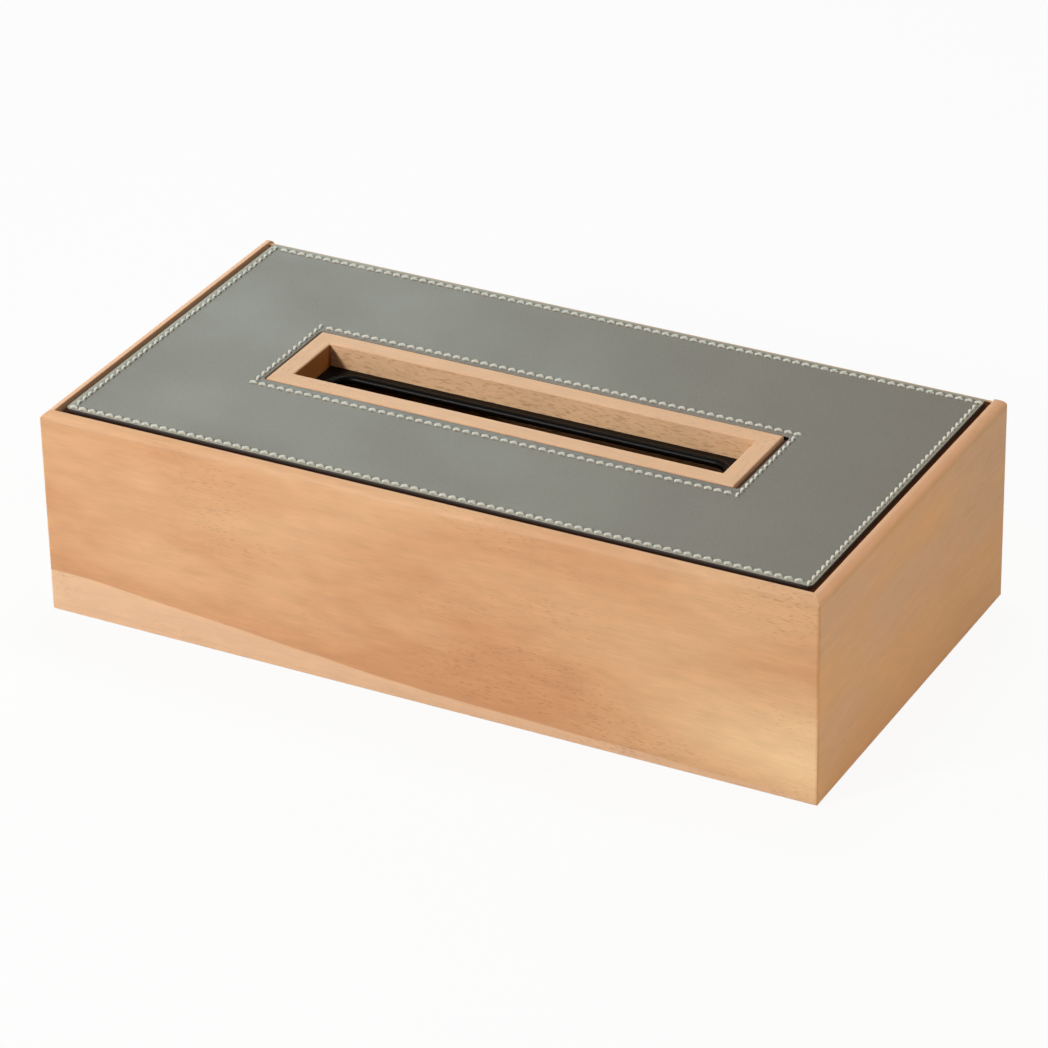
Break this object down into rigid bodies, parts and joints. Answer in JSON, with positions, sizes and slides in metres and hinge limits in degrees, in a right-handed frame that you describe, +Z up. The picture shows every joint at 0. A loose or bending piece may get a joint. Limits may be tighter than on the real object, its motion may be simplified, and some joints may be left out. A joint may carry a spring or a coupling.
{
  "type": "tissue box",
  "caption": "Low wooden tissue box whose lift-out lid is covered in stitched leather, with a wood-framed dispensing slot.",
  "frame": {"origin": "middle of the rectangle that the box stands on", "axes": "+X along the length to the right, +Y from the front to the back, +Z up"},
  "size_m": [0.26, 0.136, 0.0685],
  "materials": {
    "wall_wood": "warm pale hardwood, fine straight grain, satin oil finish",
    "base_wood": "unfinished birch plywood",
    "lid_wood": "birch plywood stained dark brown",
    "frame_wood": "paler peach hardwood, satin oil finish",
    "leather": "smooth grey leather with dark painted cut edges and off-white stitching",
    "black_plastic": "black, satin on the rolled lip",
    "screw_steel": "zinc-plated pan heads"
  },
  "bodies": {
    "box": {"front_wall": "wall_wood", "right_wall": "wall_wood", "back_wall": "wall_wood", "left_wall": "wall_wood", "base_board": "base_wood", "corner_keys": "base_wood"},
    "lid": {"lid_board": "lid_wood", "leather_cover": "leather", "slot_frame_front": "frame_wood", "slot_frame_right": "frame_wood", "slot_frame_back": "frame_wood", "slot_frame_left": "frame_wood", "dispensing_insert": "black_plastic", "insert_screws": "screw_steel"}
  },
  "joints": [
    {"name": "lid_lift", "type": "slide", "parent": "box", "child": "lid", "axis": [0, 0, 1], "range_m": [0, 0.06]}
  ]
}
